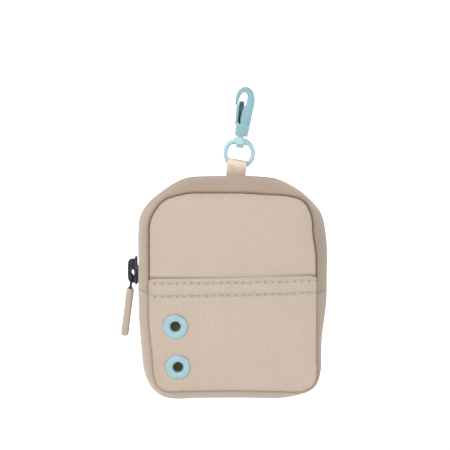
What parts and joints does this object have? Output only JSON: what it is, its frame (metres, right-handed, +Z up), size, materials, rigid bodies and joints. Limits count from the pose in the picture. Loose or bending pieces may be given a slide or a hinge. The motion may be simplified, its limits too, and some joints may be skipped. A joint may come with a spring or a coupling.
{
  "type": "clip-on zip pouch",
  "caption": "Small fabric zip pouch with a front panel that opens, two eyelets and a webbing loop, hung from a swivel snap hook.",
  "frame": {"origin": "top of the snap hook's throat, where the cord that carries the pouch bears, midway through the hook's thickness", "axes": "+Z up, -Y out of the pouch's front, +X to the right as seen from the front"},
  "size_m": [0.1042, 0.0474, 0.1555],
  "materials": {
    "hook_paint": "satin",
    "steel": "satin",
    "webbing": "matte",
    "panel_fabric": "matte",
    "gusset_fabric": "matte",
    "lining_fabric": "matte",
    "tape_fabric": "matte",
    "zip_coil": "satin",
    "dark_metal": "gloss",
    "pull_rubber": "gloss",
    "eyelet_plastic": "satin"
  },
  "bodies": {
    "hook": {"hook_body": "hook_paint", "gate_pin": "steel", "spring_rivet": "steel", "gate_spring": "steel", "swivel_post": "hook_paint"},
    "gate": {"hook_gate": "hook_paint"},
    "ring": {"swivel_ring": "hook_paint"},
    "pouch": {"hanger_loop": "webbing", "back_panel": "panel_fabric", "lower_front_panel": "panel_fabric", "bottom_gusset": "gusset_fabric", "back_zip_gusset": "gusset_fabric", "back_lining": "lining_fabric", "lower_front_lining": "lining_fabric", "bottom_gusset_lining": "lining_fabric", "back_gusset_lining": "lining_fabric", "back_zip_tape": "tape_fabric", "back_zip_teeth": "zip_coil", "zip_stop_left": "dark_metal", "zip_stop_right": "dark_metal", "back_binding_upper": "tape_fabric", "back_binding_lower": "tape_fabric", "front_binding_lower": "tape_fabric", "eyelet_upper": "eyelet_plastic", "eyelet_lower": "eyelet_plastic", "eyelet_washer_upper": "steel", "eyelet_washer_lower": "steel"},
    "flap": {"front_panel": "panel_fabric", "hem_band": "panel_fabric", "front_zip_gusset": "gusset_fabric", "front_lining": "lining_fabric", "front_gusset_lining": "lining_fabric", "front_zip_tape": "tape_fabric", "front_zip_teeth": "zip_coil", "front_binding_upper": "tape_fabric"},
    "slider": {"slider_body": "dark_metal", "slider_crown": "dark_metal"},
    "pull": {"pull_link": "dark_metal", "pull_tab": "pull_rubber"}
  },
  "joints": [
    {"name": "gate_hinge", "type": "hinge", "parent": "hook", "child": "gate", "pos_m": [-0.00349, 0, -0.01716], "axis": [0, 1, 0], "range_deg": [0, 12], "stiffness_Nm_per_rad": 0.02, "springref_deg": -20.05, "deforming": ["gate_spring"]},
    {"name": "ring_swivel", "type": "hinge", "parent": "hook", "child": "ring", "pos_m": [-0.00265, 0, -0.03059], "axis": [0.0863, 0, 0.9963], "continuous": true},
    {"name": "pouch_swing", "type": "hinge", "parent": "ring", "child": "pouch", "pos_m": [-0.00314, 0, -0.03626], "axis": [0.9963, 0, -0.0863], "range_deg": [-85, 85]},
    {"name": "flap_hinge", "type": "hinge", "parent": "pouch", "child": "flap", "pos_m": [-0.00314, -0.01924, -0.10231], "axis": [1, 0, 0], "range_deg": [0, 55]},
    {"name": "zip_slide", "type": "slide", "parent": "pouch", "child": "slider", "axis": [0, -0.1149, 0.9934], "range_m": [0, 0.015]},
    {"name": "pull_hinge", "type": "hinge", "parent": "slider", "child": "pull", "pos_m": [-0.05629, 0.00214, -0.09128], "axis": [0, 0.9934, 0.1149], "range_deg": [0, 140]}
  ]
}
